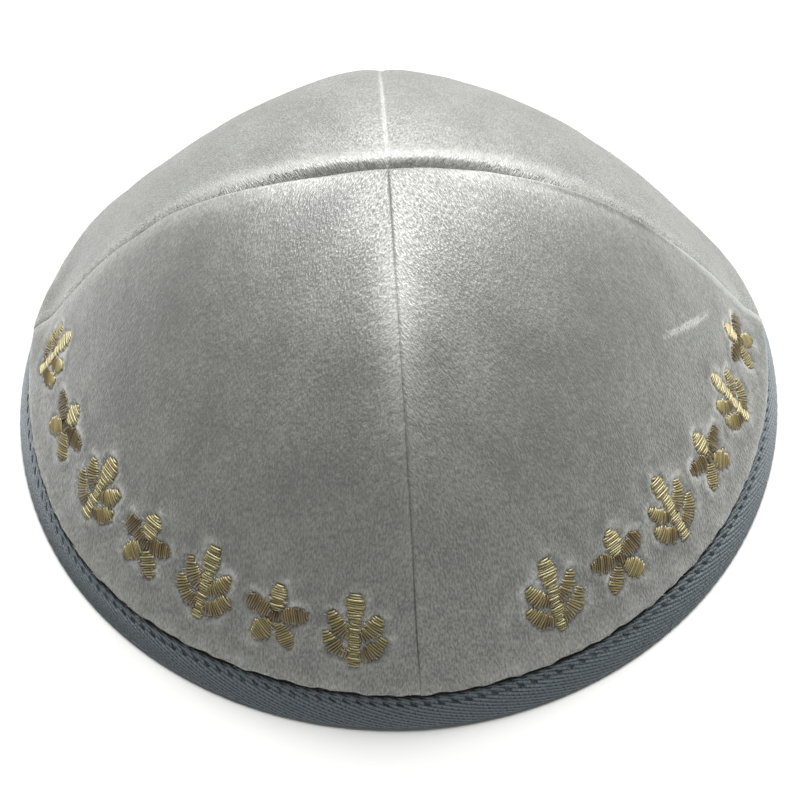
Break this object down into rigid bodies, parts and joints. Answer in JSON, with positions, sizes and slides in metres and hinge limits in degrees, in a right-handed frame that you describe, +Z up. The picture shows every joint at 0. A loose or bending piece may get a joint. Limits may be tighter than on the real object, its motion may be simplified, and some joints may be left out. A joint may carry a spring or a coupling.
{
  "type": "kippah skullcap",
  "caption": "Shallow round skullcap sewn from velvet gores that meet at the crown, its rim bound in folded twill tape, with gold satin-stitch sprigs over the front.",
  "frame": {"origin": "centre of the rim, on the surface that the cap rests on", "axes": "+Z up through the apex, -Y towards the front seam, +X towards the right-hand seam as seen from the front"},
  "size_m": [0.1733, 0.1734, 0.064],
  "materials": {
    "silver_velvet": "silver-grey short-pile velvet with a bright nap",
    "twill_tape": "slate blue-grey woven twill, matt",
    "gold_thread": "lustrous gold embroidery thread in satin stitch"
  },
  "bodies": {
    "root": {"panel_front_left": "silver_velvet", "panel_front_right": "silver_velvet", "panel_back_left": "silver_velvet", "panel_back_right": "silver_velvet", "rim_binding": "twill_tape"}
  },
  "joints": []
}
